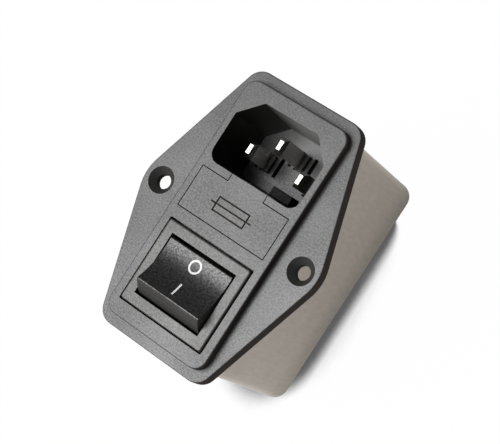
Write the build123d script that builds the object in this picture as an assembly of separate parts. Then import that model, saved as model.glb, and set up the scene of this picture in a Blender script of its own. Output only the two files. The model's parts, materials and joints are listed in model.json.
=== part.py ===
import math
import os

from build123d import *

# Panel power inlet with a fuse drawer, a rocker switch and a filter can behind the panel.
# Millimetres. +Z points out of the panel, +Y to the inlet's end, and z = 0 is the face of
# the flange that lies on the panel. The origin is midway between the two screw holes.

# Fuses and fuse drawer
fuse_length = 20.0
fuse_diameter = 5.0
fuse_cap_length = 5.2
fuse_cap_wall = 0.25
fuse_glass_wall = 0.6
fuse_wire_diameter = 0.3
fuse_pocket_clearance = 0.15
fuse_pitch = 8.4
fuse_contact_thickness = 0.4
fuse_contact_width = 4.0
fuse_contact_gap = 0.15
fuse_contact_side_gap = 0.3
drawer_side = 2.0
drawer_height = 9.95
drawer_clearance = 0.22
drawer_depth = 20.5
drawer_end_gap = 0.5
active_fuse_rise = 4.5
tongue_width = 9.7
tongue_depth = 5.0
bay_wall = 1.2
symbol_width = 8.8
symbol_height = 3.6
symbol_line_length = 11.2
symbol_line = 0.36
symbol_depth = 0.4
symbol_shift = -0.2
symbol_drop = 0.325

# Raised platform, whose openings stand in a row from the inlet's end to the switch's end
platform_side = 2.0
platform_height = 2.0
platform_corner_radius = 3.0
platform_edge_round = 0.35
recess_end_margin = 3.6
recess_length = 16.65
drawer_recess_gap = 1.9
drawer_switch_gap = 2.975
switch_slot_length = 21.05
switch_end_margin = 3.475

# Flange and its screw holes
flange_side_margin = 0.6
flange_end_margin = 2.6
flange_wing_width = 50.0
flange_thickness = 3.0
flange_corner_radius = 4.0
flange_wing_radius = 11.0
flange_edge_round = 0.3
screw_pitch = 40.0
screw_hole_diameter = 3.4
countersink_diameter = 6.4

# Inlet recess and its pins
recess_side = 1.7
recess_chamfer = 5.0
recess_low_radius = 2.75
recess_high_radius = 0.9
recess_depth = 16.5
recess_draft = 0.8
recess_wall = 1.1
recess_floor = 3.0
live_pin_spacing = 14.0
live_pin_rise = 6.65
earth_pin_offset = 4.0
pin_width = 2.0
pin_height = 4.0
pin_taper_side = 0.55
pin_taper_end = 0.9
pin_taper_length = 1.2
live_pin_setback = 4.4
earth_pin_setback = 1.9
pin_tail_thickness = 0.8
pin_tail_height = 3.0
pin_mouth_gap = 0.35
pin_mouth_depth = 0.8
floor_slot_width = 0.9
floor_slot_length = 4.6
floor_slot_offset = 2.6
floor_slot_depth = 2.2
floor_rib_rise = 3.55
floor_rib_width = 1.2
floor_rib_height = 0.6
floor_rib_length = 12.0
floor_pocket_length = 7.4
floor_pocket_shift = 0.7
floor_ramp_length = 4.5
floor_ramp_drop = 2.0
floor_well_depth = 7.0
floor_well_wall = 1.2

# Rocker switch
switch_slot_side = 2.075
switch_slot_depth = 3.0
switch_slot_radius = 0.35
bezel_side_gap = 0.3
bezel_end_gap = 0.35
bezel_side = 2.425
bezel_end = 2.525
bezel_rise = 0.45
bezel_corner_radius = 0.7
bezel_edge_round = 0.45
switch_wall = 1.5
switch_body_depth = 18.0
switch_floor = 1.2
switch_ledge_gap = 0.5
switch_ledge_reach = 1.6
switch_ledge_thickness = 1.0
housing_fit = 0.15
divider_thickness = 1.0
divider_height = 7.0
pivot_drop = 2.5
rocker_side_gap = 0.45
rocker_end_gap = 0.3
rocker_edge_angle = 37.5
rocker_tilt = 16.4
rocker_dish = 1.2
rocker_skirt = 1.0
rocker_skin = 1.2
rocker_end_inset = 0.3
rocker_end_bulge = 0.25
rocker_edge_round = 0.33
axle_diameter = 2.4
axle_length = 1.2
axle_clearance = 0.08
pole_spacing = 8.8
boss_diameter = 4.4
boss_length = 5.2
plunger_diameter = 2.5
plunger_clearance = 0.08
plunger_reach = 8.5
plunger_length = 5.4
spring_wire = 0.3
spring_turns = 6
mark_depth = 0.25
mark_stroke = 0.45
mark_ring_diameter = 3.2
mark_ring_y = 3.3
mark_bar_length = 3.1
mark_bar_y = -2.9

# Switch contacts
blade_width = 4.0
blade_thickness = 0.5
blade_half_length = 6.2
blade_bend = 10.0
blade_tilt = 6.0
blade_gap = 0.2
blade_seat_gap = 0.1
contact_diameter = 2.6
contact_height = 0.6
contact_reach = 5.0
contact_gap = 0.15
terminal_thickness = 0.8
terminal_width = 4.0
fixed_terminal_reach = 6.9

# Circuit board and filter parts
board_depth = 24.0
board_thickness = 1.6
board_margin = 0.3
board_hole_fit = 0.1
post_size = 3.0
solder_length = 0.9
core_wall = 4.7
core_height = 8.0
winding_angle = 130.0
winding_turns = 10
winding_sleeve = 0.5
winding_wire = 0.9
choke_gap = 2.3
choke_strap_gap = 3.2
choke_base_plate = 1.2
choke_base_foot = 1.2
choke_foot_wall = 1.0
x_capacitor_gap = 0.4
x_capacitor_width = 18.0
x_capacitor_length = 6.0
x_capacitor_height = 13.0
x_capacitor_round = 0.6
x_lead_spacing = 15.0
y_capacitor_gap = 1.1
y_capacitor_spacing = 11.0
y_capacitor_diameter = 8.0
y_capacitor_thickness = 3.0
y_capacitor_round = 1.0
y_capacitor_standoff = 1.0
lead_diameter = 0.6
lead_spacing = 5.0
resistor_gap = 1.1
resistor_diameter = 2.4
resistor_length = 7.0
resistor_round = 0.4
resistor_standoff = 0.6
resistor_lead_spacing = 10.0

# Filter can
can_back_space = 4.7
can_wall = 0.5
can_corner_radius = 3.5
can_back_radius = 1.6
can_fit = 0.1
rim_groove_depth = 0.4
skirt_depth = 6.0
skirt_wall = 1.2
snap_width = 4.0
snap_height = 1.6
snap_spacing = 12.0
snap_z = -3.2

# Rear terminals
tab_width = 6.3
tab_thickness = 0.8
tab_length = 8.5
tab_nose = 1.2
tab_hole_diameter = 1.6
live_tab_inset = 7.8
earth_tab_inset = 5.8
earth_foot_length = 7.6
rivet_offset = 4.4
rivet_diameter = 3.2
rivet_head_diameter = 5.6
rivet_head_height = 0.9
rivet_head_round = 0.45
strap_width = 6.0
strap_thickness = 0.6
strap_inset = 3.2
block_side = 2.0
block_end_wall = 1.35
block_length = 6.4
block_corner_radius = 2.1
block_plate = 1.5
block_plug_depth = 2.4
block_lip = 1.0
plug_corner_radius = 1.4
sheet_thickness = 0.4
sheet_gap = 3.3

# Widths that follow, from the fuses outwards and back into the recess and the switch
drawer_width = fuse_length + 2 * drawer_side
platform_width = drawer_width + 2 * platform_side
recess_width = platform_width - 2 * recess_side
flange_end_width = platform_width + 2 * flange_side_margin
switch_slot_width = platform_width - 2 * switch_slot_side
bezel_width = switch_slot_width - 2 * bezel_side_gap
aperture_width = bezel_width - 2 * bezel_side
rocker_width = aperture_width - 2 * rocker_side_gap
can_width = platform_width
block_width = can_width - 2 * block_side
live_tab_spacing = block_width - tab_width - 2 * block_end_wall

# Lengths that follow
inlet_part = recess_end_margin + recess_length + drawer_recess_gap
switch_part = drawer_switch_gap + switch_slot_length + switch_end_margin
platform_length = inlet_part + drawer_height + switch_part
flange_length = platform_length + 2 * flange_end_margin
can_length = platform_length
bezel_length = switch_slot_length - 2 * bezel_end_gap
aperture_length = bezel_length - 2 * bezel_end
rocker_radius = aperture_length / 2 - rocker_end_gap

# Places along Y that follow
recess_top_y = platform_length / 2 - recess_end_margin
recess_bottom_y = recess_top_y - recess_length
live_pin_y = recess_bottom_y + live_pin_rise
earth_pin_y = live_pin_y + earth_pin_offset
floor_rib_y = recess_bottom_y + floor_rib_rise
drawer_top_y = recess_bottom_y - drawer_recess_gap
drawer_bottom_y = drawer_top_y - drawer_height
fuse_y = (drawer_bottom_y + drawer_top_y) / 2
symbol_y = fuse_y - symbol_drop
switch_y = drawer_bottom_y - drawer_switch_gap - switch_slot_length / 2
x_capacitor_y = live_pin_y - pin_tail_height / 2 - x_capacitor_gap - x_capacitor_length / 2
resistor_y = x_capacitor_y - x_capacitor_length / 2 - resistor_gap - resistor_diameter / 2
y_capacitor_y = resistor_y - resistor_diameter / 2 - y_capacitor_gap - y_capacitor_thickness / 2
live_tab_y = can_length / 2 - live_tab_inset
earth_tab_y = -can_length / 2 + earth_tab_inset
rivet_y = earth_tab_y + rivet_offset
strap_y = -can_length / 2 + strap_inset
choke_low_y = strap_y + choke_strap_gap
choke_high_y = y_capacitor_y - y_capacitor_thickness / 2 - choke_gap
choke_y = (choke_low_y + choke_high_y) / 2
choke_radius = (choke_high_y - choke_low_y) / 2
core_outer_diameter = 2 * (choke_radius - winding_sleeve - winding_wire)
core_inner_diameter = core_outer_diameter - 2 * core_wall
sheet_low_y = rivet_y + rivet_head_diameter / 2 + sheet_gap

# Levels that follow
platform_top = flange_thickness + platform_height
recess_floor_z = platform_top - recess_depth
live_pin_tip = platform_top - live_pin_setback
earth_pin_tip = platform_top - earth_pin_setback
drawer_end_z = platform_top - drawer_depth
bay_floor_z = drawer_end_z - drawer_end_gap
active_fuse_z = drawer_end_z + active_fuse_rise
spare_fuse_z = active_fuse_z + fuse_pitch
bezel_top = platform_top + bezel_rise
slot_floor_z = platform_top - switch_slot_depth
switch_bottom = bezel_top - switch_body_depth
pivot_z = bezel_top - pivot_drop
rocker_foot_angle = math.radians(rocker_tilt) + math.asin(rocker_skirt / rocker_radius)
ledge_z = pivot_z - rocker_radius * math.sin(rocker_foot_angle) - switch_ledge_gap
blade_roll = terminal_thickness / 2 + blade_seat_gap
blade_z = pivot_z - plunger_reach - blade_gap - blade_thickness - blade_roll
board_z = -board_depth
board_back = board_z - board_thickness
solder_end = board_back - solder_length
choke_base_bottom = board_back - choke_base_foot - choke_base_plate
choke_middle_z = choke_base_bottom - winding_sleeve - winding_wire - core_height / 2
choke_bottom = choke_middle_z - core_height / 2 - winding_sleeve - winding_wire
can_depth = can_wall + can_back_space - choke_bottom
can_inside_back = -can_depth + can_wall
tab_tip = -can_depth - tab_length


def block(x_range, y_range, z_range):
    ranges = (x_range, y_range, z_range)
    sizes = [high - low for low, high in ranges]
    middle = [(high + low) / 2 for low, high in ranges]
    return Pos(*middle) * Box(*sizes)


def prism(outline, low, high):
    return extrude(Plane.XY.offset(low) * outline, amount=high - low)


def upright(diameter, x, y, low, high):
    return Pos(x, y, (low + high) / 2) * Cylinder(diameter / 2, high - low)


def centred(middle, size):
    return (middle - size / 2, middle + size / 2)


def round_top(solid, radius):
    return fillet(solid.faces().sort_by(Axis.Z)[-1].edges(), radius)


# Housing
def flange():
    half_end = flange_end_width / 2
    half_wing = flange_wing_width / 2
    half_length = flange_length / 2
    corners = [
        (-half_end, half_length),
        (half_end, half_length),
        (half_wing, 0),
        (half_end, -half_length),
        (-half_end, -half_length),
        (-half_wing, 0),
    ]
    outline = make_face(Polyline(*corners, close=True))
    ends = outline.vertices().filter_by(lambda v: abs(v.Y) > half_length / 2)
    outline = fillet(ends, flange_corner_radius)
    wings = outline.vertices().filter_by(lambda v: abs(v.Y) < half_length / 10)
    outline = fillet(wings, flange_wing_radius)
    plate = round_top(prism(outline, 0, flange_thickness), flange_edge_round)
    sink_depth = (countersink_diameter - screw_hole_diameter) / 2
    for x in (-screw_pitch / 2, screw_pitch / 2):
        plate -= upright(screw_hole_diameter, x, 0, 0, flange_thickness)
        sink = Cone(screw_hole_diameter / 2, countersink_diameter / 2, sink_depth)
        plate -= Pos(x, 0, flange_thickness - sink_depth / 2) * sink
    return plate


def recess_outline(grow=0.0):
    half = recess_width / 2 + grow
    low = recess_bottom_y - grow
    high = recess_top_y + grow
    cut = recess_chamfer + grow * (2 - math.sqrt(2))
    corners = [
        (-half, low),
        (half, low),
        (half, high - cut),
        (half - cut, high),
        (-half + cut, high),
        (-half, high - cut),
    ]
    outline = make_face(Polyline(*corners, close=True))
    low_corners = outline.vertices().filter_by(lambda v: v.Y < low + 1)
    outline = fillet(low_corners, recess_low_radius + grow)
    high_corners = outline.vertices().filter_by(lambda v: v.Y > high - cut - 1)
    return fillet(high_corners, recess_high_radius + grow)


def recess_cup():
    return prism(recess_outline(recess_wall), recess_floor_z - recess_floor, 0)


def pin_places():
    half = live_pin_spacing / 2
    return {
        "line_pin": (-half, live_pin_y, live_pin_tip),
        "neutral_pin": (half, live_pin_y, live_pin_tip),
        "earth_pin": (0, earth_pin_y, earth_pin_tip),
    }


def recess_space():
    mouth = Plane.XY.offset(platform_top) * recess_outline()
    foot = Plane.XY.offset(recess_floor_z) * recess_outline(-recess_draft)
    space = loft([foot, mouth], ruled=True)
    for x, y, tip in pin_places().values():
        space += block(
            centred(x, pin_width + 2 * board_hole_fit),
            centred(y, pin_height + 2 * board_hole_fit),
            (recess_floor_z - recess_floor, recess_floor_z),
        )
        space += block(
            centred(x, pin_width + 2 * pin_mouth_gap),
            centred(y, pin_height + 2 * pin_mouth_gap),
            (recess_floor_z - pin_mouth_depth, recess_floor_z),
        )
        for side in (-1, 1):
            space += block(
                centred(x + side * floor_slot_offset, floor_slot_width),
                centred(y, floor_slot_length),
                (recess_floor_z - floor_slot_depth, recess_floor_z),
            )
    return space + floor_pocket()


# The pocket beside the rib slopes down to a well at one end
def floor_pocket_places():
    start = floor_pocket_shift - floor_pocket_length / 2
    return (start, start + floor_ramp_length, start + floor_pocket_length)


def floor_pocket():
    start, well, end = floor_pocket_places()
    outline = [
        (start, recess_floor_z),
        (well, recess_floor_z - floor_ramp_drop),
        (well, recess_floor_z - floor_well_depth),
        (end, recess_floor_z - floor_well_depth),
        (end, recess_floor_z),
    ]
    low = recess_bottom_y + recess_draft
    high = floor_rib_y - floor_rib_width / 2
    face = Plane.XZ * make_face(Polyline(*outline, close=True))
    return Pos(0, (low + high) / 2, 0) * extrude(face, amount=(high - low) / 2, both=True)


def floor_well():
    well, end = floor_pocket_places()[1:]
    return block(
        (well - floor_well_wall, end + floor_well_wall),
        (recess_bottom_y, floor_rib_y - floor_rib_width / 2 + floor_well_wall),
        (recess_floor_z - floor_well_depth - floor_well_wall, recess_floor_z - recess_floor),
    )


def floor_rib():
    return block(
        centred(0, floor_rib_length),
        centred(floor_rib_y, floor_rib_width),
        (recess_floor_z, recess_floor_z + floor_rib_height),
    )


def bay_space():
    return block(
        centred(0, drawer_width + 2 * drawer_clearance),
        (drawer_bottom_y - drawer_clearance, drawer_top_y + drawer_clearance),
        (bay_floor_z, platform_top),
    )


def tongue_slot():
    return block(
        centred(0, tongue_width + 2 * drawer_clearance),
        (drawer_top_y, recess_bottom_y + recess_low_radius / 2),
        (platform_top - tongue_depth - drawer_clearance, platform_top),
    )


def drawer_bay():
    return block(
        centred(0, skirt_size()[0]),
        (drawer_bottom_y - drawer_clearance - bay_wall, recess_bottom_y),
        (bay_floor_z - bay_wall, 0),
    )


def skirt_size():
    inset = 2 * (can_wall + can_fit)
    return (can_width - inset, can_length - inset)


def skirt():
    width, length = skirt_size()
    radius = can_corner_radius - can_wall - can_fit
    outer = RectangleRounded(width, length, radius)
    inner = RectangleRounded(width - 2 * skirt_wall, length - 2 * skirt_wall, radius - skirt_wall)
    ring = prism(outer - inner, -skirt_depth, 0)
    for x, y in post_places():
        post = block(centred(x, post_size), centred(y, post_size), (board_z, 0))
        ring += post & prism(outer, board_z, 0)
    return ring


def rim_groove():
    width, length = skirt_size()
    fit = 2 * can_fit
    outer = RectangleRounded(can_width + fit, can_length + fit, can_corner_radius + can_fit)
    inner = RectangleRounded(width, length, can_corner_radius - can_wall - can_fit)
    return prism(outer - inner, 0, rim_groove_depth)


def post_places():
    width, length = skirt_size()
    x = (width - post_size) / 2
    y = (length - post_size) / 2
    return [(-x, -y), (x, -y), (-x, y), (x, y)]


def snap_places():
    return [(x, side) for x in (-snap_spacing / 2, snap_spacing / 2) for side in (-1, 1)]


def snaps():
    length = skirt_size()[1]
    nubs = []
    for x, side in snap_places():
        face = side * length / 2
        edge = side * can_length / 2
        nubs.append(block(centred(x, snap_width), sorted((face, edge)), centred(snap_z, snap_height)))
    return nubs


def switch_slot():
    outline = RectangleRounded(switch_slot_width, switch_slot_length, switch_slot_radius)
    upper = prism(Pos(0, switch_y) * outline, slot_floor_z, platform_top)
    width, length = switch_body_size()
    lower = block(
        centred(0, width + 2 * housing_fit),
        centred(switch_y, length + 2 * housing_fit),
        (0, slot_floor_z),
    )
    return upper + lower


def fuse_contact_places():
    x = fuse_length / 2 + fuse_contact_gap + fuse_contact_thickness / 2
    return {"fuse_contact_line": -x, "fuse_contact_load": x}


def front_housing():
    platform = prism(
        RectangleRounded(platform_width, platform_length, platform_corner_radius),
        flange_thickness,
        platform_top,
    )
    body = flange() + round_top(platform, platform_edge_round)
    body += recess_cup()
    body += floor_well()
    body += drawer_bay()
    body += skirt()
    for nub in snaps():
        body += nub
    body -= rim_groove()
    body -= recess_space()
    body -= bay_space()
    body -= tongue_slot()
    body -= switch_slot()
    body += floor_rib()
    for x in fuse_contact_places().values():
        body -= block(
            centred(x, fuse_contact_thickness + 2 * board_hole_fit),
            centred(fuse_y, fuse_contact_width + 2 * board_hole_fit),
            (bay_floor_z - bay_wall, bay_floor_z),
        )
    return body


# Inlet pins
def inlet_pin(x, y, tip):
    shoulder = tip - pin_taper_length
    shank = block(
        centred(x, pin_width),
        centred(y, pin_height),
        (recess_floor_z - recess_floor, shoulder),
    )
    wide = Plane.XY.offset(shoulder) * Rectangle(pin_width, pin_height)
    flat = Rectangle(pin_width - 2 * pin_taper_side, pin_height - 2 * pin_taper_end)
    shank += Pos(x, y, 0) * loft([wide, Plane.XY.offset(tip) * flat], ruled=True)
    tail = block(
        centred(x, pin_tail_thickness),
        centred(y, pin_tail_height),
        (solder_end, recess_floor_z - recess_floor),
    )
    return shank + tail


# Fuse drawer
def fuse_symbol():
    wide = symbol_width
    tall = symbol_height
    outline = Rectangle(wide, tall) - Rectangle(wide - 2 * symbol_line, tall - 2 * symbol_line)
    line = Rectangle(symbol_line_length, symbol_line)
    return Pos(symbol_shift, symbol_y) * (outline + line)


def fuse_drawer():
    body = block(centred(0, drawer_width), (drawer_bottom_y, drawer_top_y), (drawer_end_z, platform_top))
    body += block(
        centred(0, tongue_width),
        (drawer_top_y, recess_bottom_y),
        (platform_top - tongue_depth, platform_top),
    )
    pocket_length = fuse_length + 2 * fuse_pocket_clearance
    bore = fuse_diameter + 2 * fuse_pocket_clearance
    for z in (active_fuse_z, spare_fuse_z):
        body -= Pos(0, fuse_y, z) * Rot(0, 90, 0) * Cylinder(bore / 2, pocket_length)
    body -= block(centred(0, pocket_length), centred(fuse_y, bore), (drawer_end_z, active_fuse_z))
    body -= block(centred(0, pocket_length), (drawer_bottom_y, fuse_y), centred(spare_fuse_z, bore))
    slot_start = fuse_length / 2
    for side in (-1, 1):
        ends = sorted((side * slot_start, side * drawer_width / 2))
        body -= block(
            ends,
            centred(fuse_y, fuse_contact_width + 2 * fuse_contact_side_gap),
            (drawer_end_z, active_fuse_z + bore / 2),
        )
    body -= prism(fuse_symbol(), platform_top - symbol_depth, platform_top)
    return body


def along_x(diameter, length, middle_x, z):
    return Pos(middle_x, fuse_y, z) * Rot(0, 90, 0) * Cylinder(diameter / 2, length)


def fuse_caps(z):
    caps = []
    bore = fuse_diameter - 2 * fuse_cap_wall
    for side in (-1, 1):
        middle = side * (fuse_length - fuse_cap_length) / 2
        cap = along_x(fuse_diameter, fuse_cap_length, middle, z)
        caps.append(cap - along_x(bore, fuse_cap_length, middle - side * fuse_cap_wall, z))
    return Compound(children=caps)


def fuse_tube(z):
    length = fuse_length - 2 * fuse_cap_wall
    outer = fuse_diameter - 2 * fuse_cap_wall
    return along_x(outer, length, 0, z) - along_x(outer - 2 * fuse_glass_wall, length, 0, z)


def fuse_wire(z):
    return along_x(fuse_wire_diameter, fuse_length - 2 * fuse_cap_wall, 0, z)


def fuse_contact(x):
    return block(
        centred(x, fuse_contact_thickness),
        centred(fuse_y, fuse_contact_width),
        (solder_end, active_fuse_z + fuse_diameter / 2),
    )


# Switch frame
def switch_body_size():
    return (aperture_width + 2 * switch_wall, aperture_length + 2 * switch_wall)


def switch_frame():
    width, length = switch_body_size()
    bezel = Pos(0, switch_y) * RectangleRounded(bezel_width, bezel_length, bezel_corner_radius)
    frame = round_top(prism(bezel, slot_floor_z, bezel_top), bezel_edge_round)
    frame += block(centred(0, width), centred(switch_y, length), (switch_bottom, slot_floor_z))
    inside_floor = switch_bottom + switch_floor
    frame -= block(
        centred(0, aperture_width),
        centred(switch_y, aperture_length),
        (inside_floor, bezel_top),
    )
    frame += block(
        centred(0, divider_thickness),
        centred(switch_y, aperture_length),
        (inside_floor, inside_floor + divider_height),
    )
    for side in (-1, 1):
        wall_y = switch_y + side * aperture_length / 2
        frame += block(
            centred(0, aperture_width),
            sorted((wall_y, wall_y - side * switch_ledge_reach)),
            (ledge_z - switch_ledge_thickness, ledge_z),
        )
    hole = axle_diameter / 2 + axle_clearance
    reach = rocker_width + 2 * (axle_length + axle_clearance)
    frame -= Pos(0, switch_y, pivot_z) * Rot(0, 90, 0) * Cylinder(hole, reach)
    for pole in pole_places().values():
        for y in terminal_leg_places():
            frame -= block(
                centred(pole, terminal_width + 2 * board_hole_fit),
                centred(y, terminal_thickness + 2 * board_hole_fit),
                (switch_bottom, inside_floor),
            )
    return frame


def pole_places():
    return {"line": -pole_spacing / 2, "neutral": pole_spacing / 2}


def terminal_leg_places():
    return (switch_y, switch_y + fixed_terminal_reach - terminal_thickness / 2)


# Rocker, drawn level with its pivot at the origin and then tipped to its off position
def tipped(shape):
    return Pos(0, switch_y, pivot_z) * Rot(-rocker_tilt, 0, 0) * shape


def rocker_edge():
    angle = math.radians(rocker_edge_angle)
    return (rocker_radius * math.cos(angle), rocker_radius * math.sin(angle))


def rocker_end(side):
    edge_y, edge_z = rocker_edge()
    foot_z = -rocker_skirt
    foot_y = math.sqrt(rocker_radius ** 2 - foot_z ** 2)
    out = foot_y - edge_y
    down = edge_z - foot_z
    bulge = rocker_end_bulge / math.hypot(out, down)
    middle = (edge_y + out / 2 + bulge * down, foot_z + down / 2 + bulge * out)
    return [(side * y, z) for y, z in ((edge_y, edge_z), middle, (foot_y, foot_z))]


def rocker_core(drop=0.0):
    edge_y, edge_z = rocker_edge()
    dish = ThreePointArc((-edge_y, edge_z), (0, edge_z - rocker_dish), (edge_y, edge_z))
    right = rocker_end(1)
    left = rocker_end(-1)
    foot = Line(right[-1], left[-1])
    section = make_face(Curve() + [dish, ThreePointArc(*right), foot, ThreePointArc(*reversed(left))])
    section = Plane.YZ * section
    return Pos(0, 0, -drop) * extrude(section, amount=rocker_width / 2, both=True)


def mark_outlines():
    ring = Circle(mark_ring_diameter / 2) - Circle(mark_ring_diameter / 2 - mark_stroke)
    bar = Rectangle(mark_stroke, mark_bar_length)
    return [Pos(0, mark_ring_y) * ring, Pos(0, mark_bar_y) * bar]


def level_marks():
    skin = rocker_core() - rocker_core(mark_depth)
    return [skin & prism(outline, 0, rocker_radius) for outline in mark_outlines()]


def rocker():
    edge_y, edge_z = rocker_edge()
    level = rocker_core()
    rims = level.edges().filter_by(Axis.X).filter_by(lambda e: e.center().Z > edge_z / 2)
    level = fillet(rims, rocker_edge_round)
    roof = edge_z - rocker_dish - rocker_skin
    inner_width = rocker_width - 2 * rocker_skin
    inner_length = 2 * (edge_y - rocker_end_inset)
    level -= block(centred(0, inner_width), centred(0, inner_length), (-rocker_radius, roof))
    bore = plunger_diameter + 2 * plunger_clearance
    for x in pole_places().values():
        level += upright(boss_diameter, x, 0, -boss_length, roof)
        level -= upright(bore, x, 0, -boss_length, roof)
    level += Rot(0, 90, 0) * Cylinder(axle_diameter / 2, rocker_width + 2 * axle_length)
    level -= block(centred(0, inner_width), centred(0, axle_diameter), centred(0, axle_diameter))
    for x in pole_places().values():
        tube = upright(boss_diameter, x, 0, -axle_diameter / 2, axle_diameter / 2)
        level += tube - upright(bore, x, 0, -axle_diameter / 2, axle_diameter / 2)
    for mark in level_marks():
        level -= mark
    return tipped(level)


def rocker_marks():
    return Compound(children=[tipped(mark) for mark in level_marks()])


def plunger(x):
    radius = plunger_diameter / 2
    tip_z = -plunger_reach + radius
    pin = upright(plunger_diameter, x, 0, tip_z, -plunger_reach + plunger_length)
    return tipped(pin + Pos(x, 0, tip_z) * Sphere(radius))


def plunger_spring(x):
    edge_z = rocker_edge()[1]
    top = edge_z - rocker_dish - rocker_skin
    bottom = -plunger_reach + plunger_length
    height = top - bottom - spring_wire
    radius = (plunger_diameter - spring_wire) / 2
    path = Helix(height / spring_turns, height, radius)
    section = Plane(origin=path @ 0, z_dir=path % 0) * Circle(spring_wire / 2)
    coil = sweep(section, path=path)
    return tipped(Pos(x, 0, bottom + spring_wire / 2) * coil)


# Switch contacts, drawn level with the blade's pivot at the origin and then tipped
def rocked(x, shape):
    return Pos(x, switch_y, blade_z) * Rot(blade_tilt, 0, 0) * shape


def blade_height(reach):
    return blade_roll + reach * math.tan(math.radians(blade_bend))


def contact_blade(x):
    rise = blade_height(blade_half_length)
    under = [(-blade_half_length, rise), (0, blade_roll), (blade_half_length, rise)]
    over = [(y, z + blade_thickness) for y, z in reversed(under)]
    outer = blade_roll + blade_thickness
    upper_half = Pos(0, outer / 2) * Rectangle(2 * outer, outer)
    section = make_face(Polyline(*under, *over, close=True)) + (Circle(outer) & upper_half)
    section -= Circle(blade_roll)
    return rocked(x, extrude(Plane.YZ * section, amount=blade_width / 2, both=True))


def moving_contact(x):
    button = Pos(0, 0, -contact_height / 2) * Cylinder(contact_diameter / 2, contact_height)
    seat = Pos(0, contact_reach, blade_height(contact_reach)) * Rot(blade_bend, 0, 0) * button
    return rocked(x, seat)


def fixed_contact_top():
    bend = math.radians(blade_bend)
    closed = math.radians(blade_tilt)
    reach = contact_reach + contact_height * math.sin(bend)
    height = blade_height(contact_reach) - contact_height * math.cos(bend)
    middle = height * math.cos(closed) - reach * math.sin(closed)
    tilt_drop = contact_diameter / 2 * math.sin(bend - closed)
    return blade_z + middle - tilt_drop - contact_gap


def fixed_contact(x):
    top = fixed_contact_top()
    return upright(contact_diameter, x, switch_y + contact_reach, top - contact_height, top)


def fixed_terminal(x):
    pad_top = fixed_contact_top() - contact_height
    outer = switch_y + fixed_terminal_reach
    pad = block(
        centred(x, terminal_width),
        (switch_y + contact_reach - contact_diameter / 2, outer),
        (pad_top - terminal_thickness, pad_top),
    )
    leg = block(centred(x, terminal_width), (outer - terminal_thickness, outer), (solder_end, pad_top))
    return pad + leg


def pivot_terminal(x):
    leg = block(
        centred(x, terminal_width),
        centred(switch_y, terminal_thickness),
        (solder_end, blade_z),
    )
    knife = Pos(x, switch_y, blade_z) * Rot(0, 90, 0) * Cylinder(terminal_thickness / 2, terminal_width)
    return leg + knife


# Filter can and what closes its back
def can_shell():
    outline = RectangleRounded(can_width, can_length, can_corner_radius)
    outer = prism(outline, -can_depth, rim_groove_depth)
    outer = fillet(outer.faces().sort_by(Axis.Z)[0].edges(), can_back_radius)
    inner = prism(
        RectangleRounded(can_width - 2 * can_wall, can_length - 2 * can_wall, can_corner_radius - can_wall),
        can_inside_back,
        rim_groove_depth,
    )
    inner = fillet(inner.faces().sort_by(Axis.Z)[0].edges(), can_back_radius - can_wall)
    return outer - inner


def filter_can():
    shell = can_shell()
    for x, side in snap_places():
        edge = side * can_length / 2
        shell -= block(
            centred(x, snap_width + 2 * can_fit),
            centred(edge, 4 * can_wall),
            centred(snap_z, snap_height + 2 * can_fit),
        )
    plug_width, plug_length = plug_size()
    opening = RectangleRounded(plug_width + 2 * can_fit, plug_length + 2 * can_fit, plug_corner_radius)
    shell -= prism(Pos(0, live_tab_y) * opening, -can_depth, can_inside_back)
    shell -= upright(rivet_diameter, 0, rivet_y, -can_depth, can_inside_back)
    return shell


def plug_size():
    return (block_width - 2 * block_lip, block_length - 2 * block_lip)


def live_tab_places():
    half = live_tab_spacing / 2
    return {"line_tab": -half, "neutral_tab": half}


def terminal_block():
    plug_width, plug_length = plug_size()
    plate = RectangleRounded(block_width, block_length, block_corner_radius)
    plug = RectangleRounded(plug_width, plug_length, plug_corner_radius)
    solid = prism(Pos(0, live_tab_y) * plate, -can_depth - block_plate, -can_depth)
    solid += prism(Pos(0, live_tab_y) * plug, -can_depth, -can_depth + block_plug_depth)
    for x in live_tab_places().values():
        solid -= block(
            centred(x, tab_width + 2 * board_hole_fit),
            centred(live_tab_y, tab_thickness + 2 * board_hole_fit),
            (-can_depth - block_plate, -can_depth + block_plug_depth),
        )
    return solid


def insulating_sheet():
    width = can_width - 2 * (can_wall + can_back_radius)
    high = can_length / 2 - can_wall - can_back_radius
    sheet = block(
        centred(0, width),
        (sheet_low_y, high),
        (can_inside_back, can_inside_back + sheet_thickness),
    )
    plug_width, plug_length = plug_size()
    return sheet - block(
        centred(0, plug_width + 2 * can_fit),
        centred(live_tab_y, plug_length + 2 * can_fit),
        (can_inside_back, can_inside_back + sheet_thickness),
    )


def tab_blade(x, y, top):
    half = tab_width / 2
    nose = [
        (-half, top),
        (half, top),
        (half, tab_tip + tab_nose),
        (half - tab_nose, tab_tip),
        (-half + tab_nose, tab_tip),
        (-half, tab_tip + tab_nose),
    ]
    face = Plane.XZ * make_face(Polyline(*nose, close=True))
    blade = Pos(x, y, 0) * extrude(face, amount=tab_thickness / 2, both=True)
    hole = Pos(x, y, -can_depth - tab_length / 2) * Rot(90, 0, 0)
    return blade - hole * Cylinder(tab_hole_diameter / 2, 2 * tab_thickness)


def live_tab(x):
    neck = block(
        centred(x, tab_width / 2),
        centred(live_tab_y, tab_thickness),
        (board_back, board_z + solder_length),
    )
    return tab_blade(x, live_tab_y, board_back) + neck


def earth_tab():
    foot = block(
        centred(0, tab_width),
        (earth_tab_y - tab_thickness / 2, earth_tab_y - tab_thickness / 2 + earth_foot_length),
        (-can_depth - tab_thickness, -can_depth),
    )
    foot -= upright(rivet_diameter, 0, rivet_y, -can_depth - tab_thickness, -can_depth)
    return foot + tab_blade(0, earth_tab_y, -can_depth)


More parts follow.
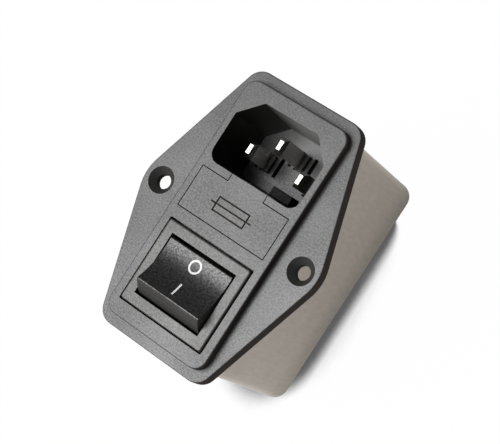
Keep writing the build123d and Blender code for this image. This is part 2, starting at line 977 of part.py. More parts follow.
def earth_strap():
    foot_high = rivet_y + rivet_head_diameter / 2
    foot = block(
        centred(0, strap_width),
        (strap_y - strap_thickness, foot_high),
        (can_inside_back, can_inside_back + strap_thickness),
    )
    foot -= upright(rivet_diameter, 0, rivet_y, can_inside_back, can_inside_back + strap_thickness)
    leg = block(
        centred(0, strap_width),
        (strap_y - strap_thickness, strap_y),
        (can_inside_back, board_back),
    )
    neck = block(
        centred(0, strap_width / 2),
        (strap_y - strap_thickness, strap_y),
        (board_back, board_z + solder_length),
    )
    return foot + leg + neck


def earth_rivet():
    low = -can_depth - tab_thickness
    high = can_inside_back + strap_thickness
    rivet = upright(rivet_diameter, 0, rivet_y, low, high)
    bottom_head = upright(rivet_head_diameter, 0, rivet_y, low - rivet_head_height, low)
    bottom_head = fillet(bottom_head.faces().sort_by(Axis.Z)[0].edges(), rivet_head_round)
    top_head = upright(rivet_head_diameter, 0, rivet_y, high, high + rivet_head_height)
    return rivet + bottom_head + round_top(top_head, rivet_head_round)


# Board, choke, capacitors and resistor
def board_slots():
    fit = 2 * board_hole_fit
    slots = []
    for x, y, tip in pin_places().values():
        slots.append((x, y, pin_tail_thickness + fit, pin_tail_height + fit))
    for x in fuse_contact_places().values():
        slots.append((x, fuse_y, fuse_contact_thickness + fit, fuse_contact_width + fit))
    for x in pole_places().values():
        for y in terminal_leg_places():
            slots.append((x, y, terminal_width + fit, terminal_thickness + fit))
    for x in live_tab_places().values():
        slots.append((x, live_tab_y, tab_width / 2 + fit, tab_thickness + fit))
    slots.append((0, strap_y - strap_thickness / 2, strap_width / 2 + fit, strap_thickness + fit))
    return slots


def lead_places():
    places = {"x_capacitor_leads": [(side * x_lead_spacing / 2, x_capacitor_y) for side in (-1, 1)]}
    for name, x in y_capacitor_places().items():
        places[name + "_leads"] = [(x + side * lead_spacing / 2, y_capacitor_y) for side in (-1, 1)]
    return places


def circuit_board():
    width, length = skirt_size()
    radius = can_corner_radius - can_wall - can_fit - board_margin
    outline = RectangleRounded(width - 2 * board_margin, length - 2 * board_margin, radius)
    board = prism(outline, board_back, board_z)
    for x, y, wide, tall in board_slots():
        board -= block(centred(x, wide), centred(y, tall), (board_back, board_z))
    holes = [place for pair in lead_places().values() for place in pair]
    holes += [(side * resistor_lead_spacing / 2, resistor_y) for side in (-1, 1)]
    for x, y in holes:
        board -= upright(lead_diameter + 2 * board_hole_fit, x, y, board_back, board_z)
    return board


def core_ring():
    return Cylinder(core_outer_diameter / 2, core_height) - Cylinder(core_inner_diameter / 2, core_height)


def choke_core():
    return Pos(0, choke_y, choke_middle_z) * core_ring()


def winding_section(thickness):
    inner = core_inner_diameter / 2 - thickness
    outer = core_outer_diameter / 2 + thickness
    outline = Pos((inner + outer) / 2, 0) * Rectangle(outer - inner, core_height + 2 * thickness)
    gap = Pos((core_inner_diameter + core_outer_diameter) / 4, 0)
    return outline - gap * Rectangle((core_outer_diameter - core_inner_diameter) / 2, core_height)


def choke_winding(side):
    start = -winding_angle / 2
    sleeve = revolve(Plane.XZ * winding_section(winding_sleeve), Axis.Z, winding_angle)
    coil = Rot(0, 0, start) * sleeve
    step = winding_angle / winding_turns
    loop_section = winding_section(winding_sleeve + winding_wire)
    for turn in range(winding_turns):
        loop = extrude(Plane.XZ * loop_section, amount=winding_wire / 2, both=True)
        coil += Rot(0, 0, start + (turn + 0.5) * step) * loop
    coil -= core_ring()
    turned = coil if side > 0 else Rot(0, 0, 180) * coil
    return Pos(0, choke_y, choke_middle_z) * turned


def choke_base():
    width = 2 * choke_radius
    base = upright(width, 0, choke_y, choke_base_bottom, board_back)
    base -= upright(width - 2 * choke_foot_wall, 0, choke_y, board_back - choke_base_foot, board_back)
    return base - upright(core_inner_diameter / 2, 0, choke_y, choke_base_bottom, board_back)


def leads(places, low):
    high = board_z + solder_length
    return Compound(children=[upright(lead_diameter, x, y, low, high) for x, y in places])


def x_capacitor():
    box = block(
        centred(0, x_capacitor_width),
        centred(x_capacitor_y, x_capacitor_length),
        (board_back - x_capacitor_height, board_back),
    )
    return fillet(box.edges().filter_by(Axis.Z), x_capacitor_round)


def y_capacitor_places():
    half = y_capacitor_spacing / 2
    return {"y_capacitor_line": -half, "y_capacitor_neutral": half}


def y_capacitor_z():
    return board_back - y_capacitor_standoff - y_capacitor_diameter / 2


def y_capacitor(x):
    disc = Cylinder(y_capacitor_diameter / 2, y_capacitor_thickness)
    disc = fillet(disc.edges().filter_by(GeomType.CIRCLE), y_capacitor_round)
    return Pos(x, y_capacitor_y, y_capacitor_z()) * Rot(90, 0, 0) * disc


def y_lead_end():
    half_chord = lead_spacing / 2
    radius = y_capacitor_diameter / 2
    return y_capacitor_z() + math.sqrt(radius ** 2 - half_chord ** 2)


def y_capacitor_leads(x):
    pair = []
    disc = Cylinder(y_capacitor_diameter / 2, y_capacitor_thickness)
    disc = Pos(x, y_capacitor_y, y_capacitor_z()) * Rot(90, 0, 0) * disc
    for side in (-1, 1):
        lead = upright(
            lead_diameter,
            x + side * lead_spacing / 2,
            y_capacitor_y,
            y_lead_end() - lead_diameter,
            board_z + solder_length,
        )
        pair.append(lead - disc)
    return Compound(children=pair)


def resistor_z():
    return board_back - resistor_standoff - resistor_diameter / 2


def bleed_resistor():
    body = Cylinder(resistor_diameter / 2, resistor_length)
    body = fillet(body.edges().filter_by(GeomType.CIRCLE), resistor_round)
    return Pos(0, resistor_y, resistor_z()) * Rot(0, 90, 0) * body


def resistor_leads():
    pair = []
    for side in (-1, 1):
        end = side * resistor_lead_spacing / 2
        route = FilletPolyline(
            (side * resistor_length / 2, resistor_y, resistor_z()),
            (end, resistor_y, resistor_z()),
            (end, resistor_y, board_z + solder_length),
            radius=lead_diameter,
        )
        section = Plane(origin=route @ 0, z_dir=route % 0) * Circle(lead_diameter / 2)
        pair.append(sweep(section, path=route))
    return Compound(children=pair)


def all_parts():
    parts = {
        "front_housing": front_housing(),
        "fuse_drawer": fuse_drawer(),
        "switch_frame": switch_frame(),
        "rocker": rocker(),
        "rocker_marks": rocker_marks(),
        "filter_can": filter_can(),
        "terminal_block": terminal_block(),
        "insulating_sheet": insulating_sheet(),
        "earth_tab": earth_tab(),
        "earth_strap": earth_strap(),
        "earth_rivet": earth_rivet(),
        "circuit_board": circuit_board(),
        "choke_base": choke_base(),
        "choke_core": choke_core(),
        "choke_winding_line": choke_winding(-1),
        "choke_winding_neutral": choke_winding(1),
        "x_capacitor": x_capacitor(),
        "bleed_resistor": bleed_resistor(),
        "resistor_leads": resistor_leads(),
    }
    for name, (x, y, tip) in pin_places().items():
        parts[name] = inlet_pin(x, y, tip)
    for name, z in (("active_fuse", active_fuse_z), ("spare_fuse", spare_fuse_z)):
        parts[name + "_caps"] = fuse_caps(z)
        parts[name + "_glass"] = fuse_tube(z)
        parts[name + "_wire"] = fuse_wire(z)
    for name, x in fuse_contact_places().items():
        parts[name] = fuse_contact(x)
    for pole, x in pole_places().items():
        parts["plunger_" + pole] = plunger(x)
        parts["plunger_spring_" + pole] = plunger_spring(x)
        parts["contact_blade_" + pole] = contact_blade(x)
        parts["moving_contact_" + pole] = moving_contact(x)
        parts["fixed_contact_" + pole] = fixed_contact(x)
        parts["fixed_terminal_" + pole] = fixed_terminal(x)
        parts["pivot_terminal_" + pole] = pivot_terminal(x)
    for name, x in live_tab_places().items():
        parts[name] = live_tab(x)
    for name, x in y_capacitor_places().items():
        parts[name] = y_capacitor(x)
        parts[name + "_leads"] = y_capacitor_leads(x)
    x_leads = lead_places()["x_capacitor_leads"]
    parts["x_capacitor_leads"] = leads(x_leads, board_back)
    return parts


if __name__ == "__main__":
    os.makedirs("parts", exist_ok=True)
    for name, shape in all_parts().items():
        export_step(shape, f"parts/{name}.step")
        print(name)
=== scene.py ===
# Power inlet with a fuse drawer, a rocker switch and a mains filter: finishes, light and camera.
# Metres, with +Z out of the panel and z = 0 on the flange's rear face.
import json
import math

import bpy
from mathutils import Matrix, Vector


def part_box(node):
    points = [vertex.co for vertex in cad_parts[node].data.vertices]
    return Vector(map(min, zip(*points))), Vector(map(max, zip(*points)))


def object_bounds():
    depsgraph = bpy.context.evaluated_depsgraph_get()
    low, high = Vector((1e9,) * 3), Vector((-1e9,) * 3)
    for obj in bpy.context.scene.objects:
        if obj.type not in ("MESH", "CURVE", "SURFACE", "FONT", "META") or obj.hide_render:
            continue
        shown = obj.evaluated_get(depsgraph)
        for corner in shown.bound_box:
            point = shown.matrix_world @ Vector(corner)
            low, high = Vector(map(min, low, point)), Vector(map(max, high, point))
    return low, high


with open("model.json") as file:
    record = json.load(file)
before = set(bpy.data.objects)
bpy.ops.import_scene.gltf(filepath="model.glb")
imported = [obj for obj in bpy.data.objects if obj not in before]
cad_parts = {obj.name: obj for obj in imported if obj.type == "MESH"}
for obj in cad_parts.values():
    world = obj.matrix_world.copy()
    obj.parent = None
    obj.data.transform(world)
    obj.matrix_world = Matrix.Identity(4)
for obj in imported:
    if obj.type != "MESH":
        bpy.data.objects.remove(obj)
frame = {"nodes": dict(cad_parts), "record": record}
cadLow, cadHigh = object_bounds()
parts = frame["nodes"]
canLow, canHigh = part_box("filter_can")
faced = ("front_housing", "fuse_drawer", "switch_frame")
housingFace, drawerFace, bezelFace = (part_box(node)[1].z for node in faced)
mm = 0.001
print("frame loaded:", len(parts), "parts")


# Camera, where the photograph was taken from
cameraView = {
    "place": (0.14877, 0.00533, 0.30215),
    "forward": (-0.4359, -0.0074, -0.9000),
    "right": (0.7545, 0.5421, -0.3699),
    "lens": 111.96,
    "sensorWidth": 36.0,
    "clipStart": 0.01,
}


def addCamera(view):
    forward = Vector(view["forward"]).normalized()
    right = Vector(view["right"])
    right = (right - forward * right.dot(forward)).normalized()
    up = right.cross(forward)
    turn = Matrix((right, up, -forward)).transposed().to_4x4()
    bpy.ops.object.camera_add()
    camera = bpy.context.object
    camera.name = "photoCamera"
    camera.matrix_world = Matrix.Translation(view["place"]) @ turn
    camera.data.lens = view["lens"]
    camera.data.sensor_width = view["sensorWidth"]
    camera.data.clip_start = view["clipStart"]
    bpy.context.scene.camera = camera


addCamera(cameraView)
print("camera set")


# A socket that can be used in expressions, each step of which adds a Math node
class Value:
    def __init__(self, shading, socket):
        self.shading = shading
        self.socket = socket

    def maths(self, operation, first, second):
        return self.shading.node("Math", {"operation": operation}, {0: first, 1: second})

    def __add__(self, other):
        return self.maths("ADD", self, other)

    __radd__ = __add__

    def __sub__(self, other):
        return self.maths("SUBTRACT", self, other)

    def __rsub__(self, other):
        return self.maths("SUBTRACT", other, self)

    def __mul__(self, other):
        return self.maths("MULTIPLY", self, other)

    __rmul__ = __mul__

    def __abs__(self):
        return self.maths("ABSOLUTE", self, 0)


# The nodes of a material or of the sky
class Shading:
    def __init__(self, tree):
        self.tree = tree

    def node(self, kind, settings=None, inputs=None, output=0):
        made = self.tree.nodes.new("ShaderNode" + kind)
        for name, value in (settings or {}).items():
            setattr(made, name, value)
        for name, value in (inputs or {}).items():
            if isinstance(value, Value):
                self.link(value, made.inputs[name])
            else:
                made.inputs[name].default_value = value
        return Value(self, made.outputs[output])

    def link(self, value, socket):
        self.tree.links.new(value.socket, socket)


socketNames = {
    "colour": "Base Color",
    "roughness": "Roughness",
    "metallic": "Metallic",
    "normal": "Normal",
    "coat": "Coat Weight",
    "coatRoughness": "Coat Roughness",
    "coatIor": "Coat IOR",
    "specular": "Specular IOR Level",
    "transmission": "Transmission Weight",
    "ior": "IOR",
}


# One material: a Principled shader and what feeds it
class Look(Shading):
    def __init__(self, name, **fixed):
        self.material = bpy.data.materials.new(name)
        self.material.use_nodes = True
        super().__init__(self.material.node_tree)
        self.shader = self.tree.nodes["Principled BSDF"]
        for socket, value in fixed.items():
            self.shader.inputs[socketNames[socket]].default_value = value
        self.place = self.node("TexCoord", output="Object")

    def noise(self, grain, detail=2.0, place=None):
        inputs = {"Vector": place or self.place, "Scale": 1 / grain, "Detail": detail}
        return self.node("TexNoise", inputs=inputs)

    def ramp(self, value, low, high):
        return self.node("MapRange", inputs={"Value": value, "From Min": low, "From Max": high})

    # A Mix node's colours are its inputs 6 and 7 and its output 2
    def mix(self, share, first, second):
        first = first if isinstance(first, Value) else (*first, 1)
        second = second if isinstance(second, Value) else (*second, 1)
        return self.node("Mix", {"data_type": "RGBA"}, {0: share, 6: first, 7: second}, 2)

    def axis(self, letter, vector=None):
        return self.node("SeparateXYZ", inputs={0: vector or self.place}, output=letter)

    def facing(self, letter):
        return self.axis(letter, self.node("TexCoord", output="Normal"))

    # 1 between two places along an axis, and 0 outside them
    def between(self, letter, low, high, edge):
        place = self.axis(letter)
        return self.ramp(place, low, low + edge) * self.ramp(place, high, high - edge)

    def stretched(self, scale):
        return self.node("Mapping", inputs={"Vector": self.place, "Scale": scale})

    def bump(self, height, distance, rounding=0.0, samples=6):
        inputs = {"Height": height, "Distance": distance}
        if rounding:
            inputs["Normal"] = self.node("Bevel", {"samples": samples}, {"Radius": rounding})
        return self.node("Bump", inputs=inputs)

    def feed(self, **inputs):
        for socket, value in inputs.items():
            self.link(value, self.shader.inputs[socketNames[socket]])
        return self.material


# Noise keeps near 0.5, so a ramp between two of its values spreads it from 0 to 1
soft = (0.3, 0.7)
firm = (0.35, 0.65)


# Moulded black plastic: grained, with a soft gloss where it faces out of the panel, and smooth walls
# whose darker colour is partly the moulding and partly painted shade
plasticLook = {
    "specular": 0.0,  # the coat alone gives the gloss
    "grain": 0.38 * mm,
    "grainDepth": 0.02 * mm,
    "grit": (0.32, 0.68),
    "edgeRound": 0.14 * mm,
    "grainDark": (0.055, 0.055, 0.056),
    "grainLight": (0.125, 0.125, 0.127),
    "cloudSize": 9 * mm,
    "cloud": (0.12, 0.12, 0.12),
    "cloudShare": 0.4,
    # The wall colour is partly the smoother moulding and partly painted shade
    "wall": (0.064, 0.056, 0.050),
    "front": (0.6, 0.9),  # how far a face turns out of the panel, from a wall to a front
    "dust": (0.5, 0.5, 0.48),
    "dustSpacing": 3.2 * mm,
    "dustPatch": 5.44 * mm,
    "dustPicked": (0.58, 0.62),
    "dustSize": 0.035,  # share of the spacing
    "dustCore": 0.6,
    "gloss": 0.75,
    "glossSpread": 0.5,
    "sheenSize": 16 * mm,
    "sheenSpread": 1.1,
    "coatRoughness": 0.35,
    "coatIor": 1.6,
    "wallRoughness": 0.16,
    "roughness": 0.45,
    "roughnessSpread": 0.15,
}
# The inlet recess: smooth walls painted dark as shade, an end wall painted pale as light, and a floor
# painted paler by light towards that wall
recessLook = {
    "across": (-12.7 * mm, 12.7 * mm),
    "along": (9.9 * mm, 27.4 * mm),
    "edge": 0.2 * mm,
    "top": (housingFace - 0.1 * mm, housingFace - 0.5 * mm),
    # Painted shade on the recess walls
    "wall": (0.016, 0.0155, 0.015),
    # Painted light on the end wall
    "end": (0.22, 0.22, 0.215),
    "endFacing": (-0.8, -0.95),
    "endAcross": (-10.0 * mm, 2.0 * mm),
    "floor": (0.14, 0.14, 0.138),
    "floorDepth": (housingFace - 13.0 * mm, housingFace - 16.0 * mm),
    "litAlong": (15.0 * mm, 25.0 * mm),
    "gloss": 0.6,  # coat added inside the recess
    "dim": 0.45,  # and taken off it away from the end wall
}
# The housing's countersinks get a darker colour than its flat faces: painted shade in the hollows
housingLook = {
    **plasticLook,
    "recess": recessLook,
    "sink": (0.022, 0.0235, 0.024),
    "sinkFrom": (0.55, 0.68),  # a countersink faces between these
    "sinkTo": (0.86, 0.74),
    "sinkShare": 0.6,
}
# In the drawer and the bezel, what lies deeper than the face takes the dark wall colour: painted shade in
# the grooves and the slot
drawerLook = {
    **plasticLook,
    "grainDark": (0.055, 0.055, 0.055),
    "grainLight": (0.140, 0.140, 0.139),
    "face": (drawerFace - 0.15 * mm, drawerFace - 0.03 * mm),
}
bezelLook = {
    **plasticLook,
    "grainDark": (0.060, 0.059, 0.057),
    "grainLight": (0.130, 0.128, 0.124),
    "edgeRound": 0.1 * mm,
    "face": (bezelFace - 1.45 * mm, bezelFace - 0.85 * mm),
}


# Paints shade on the recess walls and light on its end wall and floor, and adds coat inside
def recessShadeAndLight(made, recess, colour, wall, coat):
    across = made.between("X", *recess["across"], recess["edge"])
    inside = made.between("Y", *recess["along"], recess["edge"]) * across
    sunk = inside * made.ramp(made.axis("Z"), *recess["top"])
    litTowardsEnd = made.ramp(made.axis("Y"), *recess["litAlong"])
    end = made.ramp(made.facing("Y"), *recess["endFacing"]) * sunk
    # Painted shade on the recess walls, painted light on the end wall
    wall = made.mix(sunk, wall, recess["wall"])
    wall = made.mix(made.ramp(made.axis("X"), *recess["endAcross"]) * end, wall, recess["end"])
    # Painted light on the recess floor, paler towards the end wall
    floor = made.ramp(made.axis("Z"), *recess["floorDepth"]) * litTowardsEnd * inside
    colour = made.mix(floor, colour, recess["floor"])
    coat = sunk * recess["gloss"] + coat - sunk * (1 - litTowardsEnd) * recess["dim"]
    return colour, wall, coat


def dustSpecks(made, look):
    cells = made.node("TexVoronoi", inputs={"Vector": made.place, "Scale": 1 / look["dustSpacing"]})
    picked = made.ramp(made.noise(look["dustPatch"], detail=0), *look["dustPicked"])
    return made.ramp(cells, look["dustSize"], look["dustSize"] * look["dustCore"]) * picked


def grainedPlastic(name, look):
    made = Look(name, **{socket: look[socket] for socket in ("specular", "coatRoughness", "coatIor")})
    grain = made.noise(look["grain"], detail=3)
    grit = made.ramp(grain, *look["grit"])
    clouds = made.ramp(made.noise(look["cloudSize"]), *firm)
    front = made.ramp(made.facing("Z"), *look["front"])
    # Below the face of the drawer or the bezel, the wall colour stands in as painted shade
    if "face" in look:
        front = front * made.ramp(made.axis("Z"), *look["face"])
    colour = made.mix(grit, look["grainDark"], look["grainLight"])
    colour = made.mix(clouds * look["cloudShare"], colour, look["cloud"])
    sheen = made.noise(look["sheenSize"], detail=3) * look["sheenSpread"] + (1 - look["sheenSpread"] / 2)
    coat = (grit * look["glossSpread"] + look["gloss"]) * front * sheen
    wall = look["wall"]
    if "recess" in look:
        colour, wall, coat = recessShadeAndLight(made, look["recess"], colour, wall, coat)
    # Walls take the wall colour: partly the smoother moulding, partly painted shade
    colour = made.mix(front, wall, colour)
    # Painted shade in the countersinks
    if "sink" in look:
        facing = made.facing("Z")
        sink = made.ramp(facing, *look["sinkFrom"]) * made.ramp(facing, *look["sinkTo"])
        colour = made.mix(sink * look["sinkShare"], colour, look["sink"])
    colour = made.mix(dustSpecks(made, look) * front, colour, look["dust"])
    rough = grain * look["roughnessSpread"] + (look["roughness"] - look["wallRoughness"])
    roughness = rough * front + look["wallRoughness"]
    normal = made.bump(grain * front, look["grainDepth"], look["edgeRound"])
    return made.feed(colour=colour, roughness=roughness, coat=coat, normal=normal)


# The rocker's glossier plastic, with a fine sparkle in its grain; its walls take a colour far paler than
# its top, painted light for its lit end wall
rockerLook = {
    **plasticLook,
    "grain": 0.42 * mm,
    "grainDepth": 0.08 * mm,
    "edgeRound": 0.12 * mm,
    "grainDark": (0.006, 0.006, 0.0058),
    "grainLight": (0.022, 0.0215, 0.021),
    "cloud": (0.012, 0.012, 0.012),
    "specular": 0.04,
    # Painted light: the walls, the end wall most in sight, take a colour far paler than the top
    "wall": (0.058, 0.056, 0.054),
    "front": (0.55, 0.75),
    "dustSize": 0.02,
    "gloss": 0.35,
    "glossSpread": 0.9,
    "coatRoughness": 0.33,
    "coatIor": 1.75,
}


# Plain mouldings: a faint mottle, fine scuffs and soft edges
blockLook = {
    "dark": (0.03, 0.03, 0.031),
    "light": (0.05, 0.05, 0.05),
    "specular": 0.5,
    "mottle": 1.4 * mm,
    "grain": 0.1 * mm,
    "grainDepth": 0.008 * mm,
    "edgeRound": 0.12 * mm,
    "roughness": 0.45,
    "roughnessSpread": 0.1,
}
markLook = {
    **blockLook,
    "dark": (0.90, 0.90, 0.89),
    "light": (0.96, 0.96, 0.955),
    "edgeRound": 0.05 * mm,
    "roughness": 0.35,
}
plungerLook = {**blockLook, "dark": (0.62, 0.61, 0.57), "light": (0.72, 0.71, 0.67), "roughness": 0.4}
ferriteLook = {
    **blockLook,
    "dark": (0.025, 0.045, 0.035),
    "light": (0.045, 0.075, 0.058),
    "grainDepth": 0.02 * mm,
    "roughness": 0.5,
}
yellowLook = {**blockLook, "dark": (0.66, 0.40, 0.04), "light": (0.74, 0.47, 0.06), "roughness": 0.3}
blueLook = {
    **blockLook,
    "dark": (0.03, 0.13, 0.38),
    "light": (0.05, 0.18, 0.46),
    "grain": 0.5 * mm,
    "grainDepth": 0.03 * mm,
    "roughness": 0.3,
}
resistorLook = {
    **blockLook,
    "dark": (0.42, 0.30, 0.17),
    "light": (0.52, 0.38, 0.23),
    "grain": 0.4 * mm,
    "grainDepth": 0.02 * mm,
    "roughness": 0.35,
}


def plainMoulding(name, look):
    made = Look(name, specular=look["specular"])
    mottle = made.noise(look["mottle"], detail=4)
    grain = made.noise(look["grain"])
    colour = made.mix(made.ramp(mottle, *soft), look["dark"], look["light"])
    roughness = made.ramp(mottle, *firm) * look["roughnessSpread"] + look["roughness"]
    normal = made.bump(grain, look["grainDepth"], look["edgeRound"])
    return made.feed(colour=colour, roughness=roughness, normal=normal)


# Metals: streaks along one direction and a cloudy patina
canLook = {
    "dark": (0.45, 0.402, 0.352),
    "light": (0.55, 0.495, 0.437),
    "streaks": (1.0, 0.25, 0.06),
    "streakSize": 0.25 * mm,
    "streakDepth": 0.004 * mm,
    "streakShare": 0.6,
    "cloudSize": 6 * mm,
    "edgeRound": 0.15 * mm,
    "roughness": 0.5,
    "roughnessSpread": 0.12,
    "metallic": 0.75,
}
# The can is painted darker towards its back edge, a painted shade, and is lighter at its two ends
canShadeAndEnds = {
    "backShade": (0.10, 0.09, 0.08),
    "backShadeReach": (canLow.z + 10.0 * mm, canLow.z),
    "backShadeShare": 0.32,
    "bright": (0.85, 0.78, 0.70),
    "brightEnds": (canHigh.y - 1.8 * mm, canHigh.y - 0.4 * mm),
    "brightShare": 0.35,
}
pinLook = {
    **canLook,
    "dark": (0.62, 0.61, 0.58),
    "light": (0.74, 0.73, 0.70),
    "streaks": (1.0, 1.0, 0.08),
    "streakSize": 0.12 * mm,
    "cloudSize": 3 * mm,
    "edgeRound": 0.0,
    "roughness": 0.16,
    "metallic": 1.0,
}
tinLook = {
    **pinLook,
    "dark": (0.56, 0.555, 0.53),
    "light": (0.70, 0.69, 0.66),
    "streaks": (0.3, 1.0, 0.1),
    "roughness": 0.3,
}
rivetLook = {**tinLook, "dark": (0.50, 0.50, 0.49), "light": (0.64, 0.64, 0.63), "roughness": 0.33}
springLook = {**tinLook, "dark": (0.34, 0.34, 0.34), "light": (0.5, 0.5, 0.5), "streakSize": 0.06 * mm}
wireLook = {**tinLook, "streakSize": 0.08 * mm, "roughness": 0.26}
copperLook = {**tinLook, "dark": (0.55, 0.27, 0.14), "light": (0.70, 0.38, 0.22)}
silverLook = {**tinLook, "dark": (0.66, 0.66, 0.65), "light": (0.80, 0.80, 0.79), "roughness": 0.22}
windingLook = {
    **copperLook,
    "dark": (0.36, 0.12, 0.03),
    "light": (0.55, 0.21, 0.07),
    "roughness": 0.2,
    "streaks": (1.0, 1.0, 1.0),
    "streakSize": 0.4 * mm,
}


def backShadeAndEnds(made, shadeAndEnds, colour):
    ends = made.ramp(abs(made.axis("Y")), *shadeAndEnds["brightEnds"])
    colour = made.mix(ends * shadeAndEnds["brightShare"], colour, shadeAndEnds["bright"])
    # Painted shade towards the can's back edge
    back = made.ramp(made.axis("Z"), *shadeAndEnds["backShadeReach"])
    return made.mix(back * shadeAndEnds["backShadeShare"], colour, shadeAndEnds["backShade"])


def platedMetal(name, look):
    made = Look(name, metallic=look["metallic"])
    streaks = made.noise(look["streakSize"], detail=3, place=made.stretched(look["streaks"]))
    clouds = made.noise(look["cloudSize"], detail=3)
    patina = made.ramp(clouds, *firm) * (1 - look["streakShare"])
    share = made.ramp(streaks, *soft) * look["streakShare"] + patina
    colour = made.mix(share, look["dark"], look["light"])
    if "shadeAndEnds" in look:
        colour = backShadeAndEnds(made, look["shadeAndEnds"], colour)
    roughness = made.ramp(clouds, *soft) * look["roughnessSpread"] + look["roughness"]
    normal = made.bump(streaks, look["streakDepth"], look["edgeRound"])
    return made.feed(colour=colour, roughness=roughness, normal=normal)


# Woven laminate, pressed fibre sheet and glass
laminateLook = {
    "threadLow": (0.36, 0.27, 0.09),
    "threadHigh": (0.50, 0.40, 0.17),
    "threadRange": (0.2, 0.9),
    "weaveScale": 100.0,  # waves of about 3 mm
    "weaveDepth": 0.01 * mm,
    "stain": 4 * mm,
    "stainShare": 0.5,
    "roughness": 0.38,
    "roughnessSpread": 0.2,
}
sheetLook = {
    "fibreLow": (0.50, 0.43, 0.31),
    "fibreHigh": (0.62, 0.55, 0.42),
    "fibre": 0.2 * mm,
    "fibreStretch": (1.0, 0.3, 1.0),
    "fibreDepth": 0.01 * mm,
    "roughness": 0.7,
    "roughnessSpread": 0.2,
}
glassLook = {
    "clear": (1.0, 1.0, 1.0),
    "tint": (0.93, 0.96, 0.955),
    "ior": 1.45,
    "smear": 1.5 * mm,
    "roughness": 0.02,
    "roughnessSpread": 0.06,
}


def wovenLaminate(name, look):
    made = Look(name)
    threads = {"Vector": made.place, "Scale": look["weaveScale"]}
    along, across = (made.node("TexWave", {"bands_direction": letter}, threads) for letter in "XY")
    weave = along * across
    stain = made.noise(look["stain"])
    shade = made.ramp(stain * look["stainShare"] + weave, *look["threadRange"])
    colour = made.mix(shade, look["threadLow"], look["threadHigh"])
    roughness = stain * look["roughnessSpread"] + look["roughness"]
    return made.feed(colour=colour, roughness=roughness, normal=made.bump(weave, look["weaveDepth"]))


def fibreSheet(name, look):
    made = Look(name)
    fibre = made.noise(look["fibre"], detail=4, place=made.stretched(look["fibreStretch"]))
    colour = made.mix(made.ramp(fibre, *soft), look["fibreLow"], look["fibreHigh"])
    roughness = fibre * look["roughnessSpread"] + look["roughness"]
    return made.feed(colour=colour, roughness=roughness, normal=made.bump(fibre, look["fibreDepth"]))


def tubeGlass(name, look):
    made = Look(name, transmission=1.0, ior=look["ior"])
    smear = made.noise(look["smear"], detail=3)
    colour = made.mix(smear, look["clear"], look["tint"])
    return made.feed(colour=colour, roughness=smear * look["roughnessSpread"] + look["roughness"])


finishes = {
    "housing_plastic": (grainedPlastic, "grainedHousing", housingLook),
    "drawer_plastic": (grainedPlastic, "grainedDrawer", drawerLook),
    "bezel_plastic": (grainedPlastic, "grainedBezel", bezelLook),
    "rocker_plastic": (grainedPlastic, "glossyRocker", rockerLook),
    "mark_white": (plainMoulding, "whiteInlay", markLook),
    "can_steel": (platedMetal, "satinCan", {**canLook, "shadeAndEnds": canShadeAndEnds}),
    "block_plastic": (plainMoulding, "blackBlock", blockLook),
    "insulating_paper": (fibreSheet, "fibreSheet", sheetLook),
    "tinned_brass": (platedMetal, "tinnedBrass", tinLook),
    "rivet_steel": (platedMetal, "zincRivet", rivetLook),
    "board_laminate": (wovenLaminate, "boardLaminate", laminateLook),
    "ferrite": (plainMoulding, "coatedCore", ferriteLook),
    "winding_copper": (platedMetal, "enamelledWire", windingLook),
    "capacitor_yellow": (plainMoulding, "yellowCase", yellowLook),
    "capacitor_blue": (plainMoulding, "blueCoating", blueLook),
    "resistor_body": (plainMoulding, "resistorCoating", resistorLook),
    "lead_wire": (platedMetal, "tinnedWire", wireLook),
    "pin_nickel": (platedMetal, "nickelPin", pinLook),
    "fuse_glass": (tubeGlass, "fuseGlass", glassLook),
    "plunger_plastic": (plainMoulding, "palePlunger", plungerLook),
    "spring_steel": (platedMetal, "springSteel", springLook),
    "contact_copper": (platedMetal, "copperBlade", copperLook),
    "contact_silver": (platedMetal, "silverContact", silverLook),
}
materials = {slot: make(name, look) for slot, (make, name, look) in finishes.items()}
for entry in frame["record"]["subparts"]:
    part = parts[entry["node"]]
    part.data.materials.clear()
    part.data.materials.append(materials[entry["material_slot"]])
print("finishes made:", len(materials))


# Floor, which is white paper with a soft shadow at the object's foot
floorSetting = {
    "size": 3.0,
    "paper": (0.93, 0.93, 0.93),
    "fibre": (0.9207, 0.9207, 0.9207),
    "fibreSize": 0.8 * mm,
    "roughness": 0.75,
    "roughnessSpread": 0.1,
    "white": (1.0, 1.0, 1.0),
    "whiteShare": 0.99,
    "mirroredShare": 0.5,
    "shadow": (0.11, 0.11, 0.11),
    "shadowReach": 44 * mm,
    "shadowRange": (0.48, 0.60),
    "shadowLean": (0, 0.514, 0.857),
    "shadowSamples": 64,
}


def footShadow(made, setting):
    lean = made.node("CombineXYZ", inputs=dict(enumerate(setting["shadowLean"])))
    reach = {"Distance": setting["shadowReach"], "Normal": lean}
    clear = made.node("AmbientOcclusion", {"samples": setting["shadowSamples"]}, reach, "AO")
    return made.ramp(clear, *setting["shadowRange"])


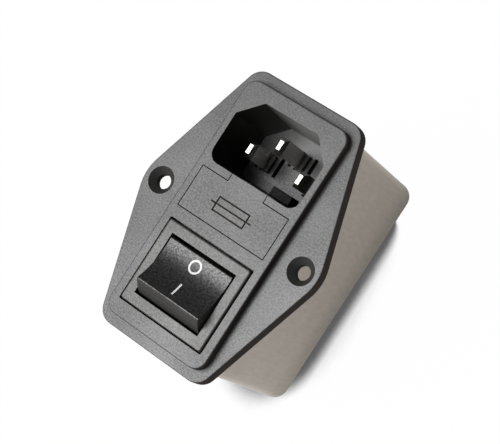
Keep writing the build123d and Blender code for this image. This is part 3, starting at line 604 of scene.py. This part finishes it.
def addFloor(height, setting):
    bpy.ops.mesh.primitive_plane_add(size=setting["size"], location=(0, 0, height))
    floor = bpy.context.object
    floor.name = "paperFloor"
    made = Look("paperWhite")
    fibre = made.noise(setting["fibreSize"], detail=3)
    colour = made.mix(fibre, setting["paper"], setting["fibre"])
    roughness = fibre * setting["roughnessSpread"] + setting["roughness"]
    floor.data.materials.append(made.feed(colour=colour, roughness=roughness))
    # Seen directly, or in metal and glass, the paper is white outside the shadow
    camera, glossy, through = (
        made.node("LightPath", output=f"Is {ray} Ray") for ray in ("Camera", "Glossy", "Transmission")
    )
    seen = camera * setting["whiteShare"] + (glossy + through) * setting["mirroredShare"]
    light = made.mix(footShadow(made, setting), setting["shadow"], setting["white"])
    white = made.node("Emission", inputs={"Color": light})
    paper = Value(made, made.shader.outputs[0])
    both = made.node("MixShader", inputs={0: seen, 1: paper, 2: white})
    made.link(both, made.tree.nodes["Material Output"].inputs["Surface"])


# Square soft boxes that face the object's origin
lamps = {
    "softBox": {"direction": (-0.37, -0.33, 0.87), "distance": 0.9, "size": 0.72, "radiance": 5.4},
    "lowBox": {"direction": (-0.42, -0.78, 0.46), "distance": 0.9, "size": 0.4, "radiance": 2.4},
}


def addLamp(name, setting):
    direction = Vector(setting["direction"]).normalized()
    bpy.ops.object.light_add(type="AREA", location=direction * setting["distance"])
    lamp = bpy.context.object
    lamp.name = name
    lamp.data.size = setting["size"]
    lamp.data.energy = setting["radiance"] * math.pi * setting["size"] ** 2
    lamp.rotation_euler = direction.to_track_quat("Z", "Y").to_euler()


# The sky lights the object faintly, and seen directly it is as white as the paper
skySetting = {
    "colour": (1.0, 1.0, 1.0, 1.0),
    "strength": 0.15,
    "seenStrength": floorSetting["whiteShare"],
}


def setSky(setting):
    sky = bpy.data.worlds.new("paleSky")
    bpy.context.scene.world = sky
    sky.use_nodes = True
    made = Shading(sky.node_tree)
    background = made.tree.nodes["Background"]
    background.inputs["Color"].default_value = setting["colour"]
    seen = made.node("LightPath", output="Is Camera Ray")
    strength = seen * (setting["seenStrength"] - setting["strength"]) + setting["strength"]
    made.link(strength, background.inputs["Strength"])


addFloor(cadLow.z, floorSetting)
for name, setting in lamps.items():
    addLamp(name, setting)
setSky(skySetting)
bpy.context.scene.view_settings.view_transform = "Standard"
print("floor and light set")
